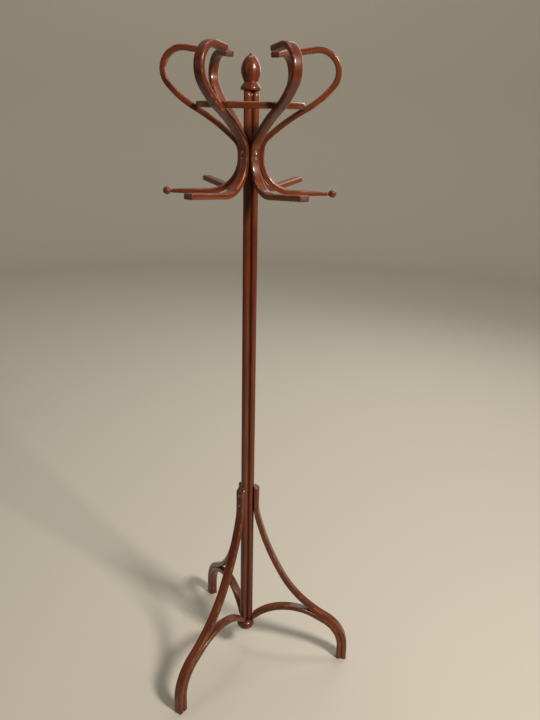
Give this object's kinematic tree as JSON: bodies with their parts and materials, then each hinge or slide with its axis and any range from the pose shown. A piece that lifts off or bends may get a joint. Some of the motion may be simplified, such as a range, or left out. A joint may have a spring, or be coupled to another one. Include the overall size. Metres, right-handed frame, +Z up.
{
  "type": "bentwood coat stand",
  "caption": "Free-standing bentwood coat stand: lobed post, acorn finial, S-shaped arms round a hoop, splayed legs with arched braces.",
  "frame": {"origin": "on the floor, on the axis of the post", "axes": "+Z up along the post; +X along the first arm, with the first leg 5 degrees from it; +Y towards the back"},
  "size_m": [0.5625, 0.5877, 1.851],
  "materials": {
    "lacquered_bentwood": "steam-bent beech, red-brown mahogany stain, worn gloss lacquer",
    "lacquered_turned_wood": "turned and moulded beech, red-brown mahogany stain, gloss lacquer",
    "screw_steel": "dull, slightly darkened countersunk screws"
  },
  "bodies": {
    "root": {"post": "lacquered_turned_wood", "finial": "lacquered_turned_wood", "base_button": "lacquered_turned_wood", "crown_ring": "lacquered_bentwood", "arm_1": "lacquered_bentwood", "arm_2": "lacquered_bentwood", "arm_3": "lacquered_bentwood", "arm_4": "lacquered_bentwood", "arm_5": "lacquered_bentwood", "arm_6": "lacquered_bentwood", "hook_knob_1": "lacquered_turned_wood", "hook_knob_4": "lacquered_turned_wood", "leg_1": "lacquered_bentwood", "brace_1": "lacquered_bentwood", "leg_2": "lacquered_bentwood", "brace_2": "lacquered_bentwood", "leg_3": "lacquered_bentwood", "brace_3": "lacquered_bentwood", "arm_post_screws": "screw_steel", "ring_screws": "screw_steel", "leg_post_screws": "screw_steel", "leg_brace_screws": "screw_steel", "brace_post_screws": "screw_steel"}
  },
  "joints": []
}
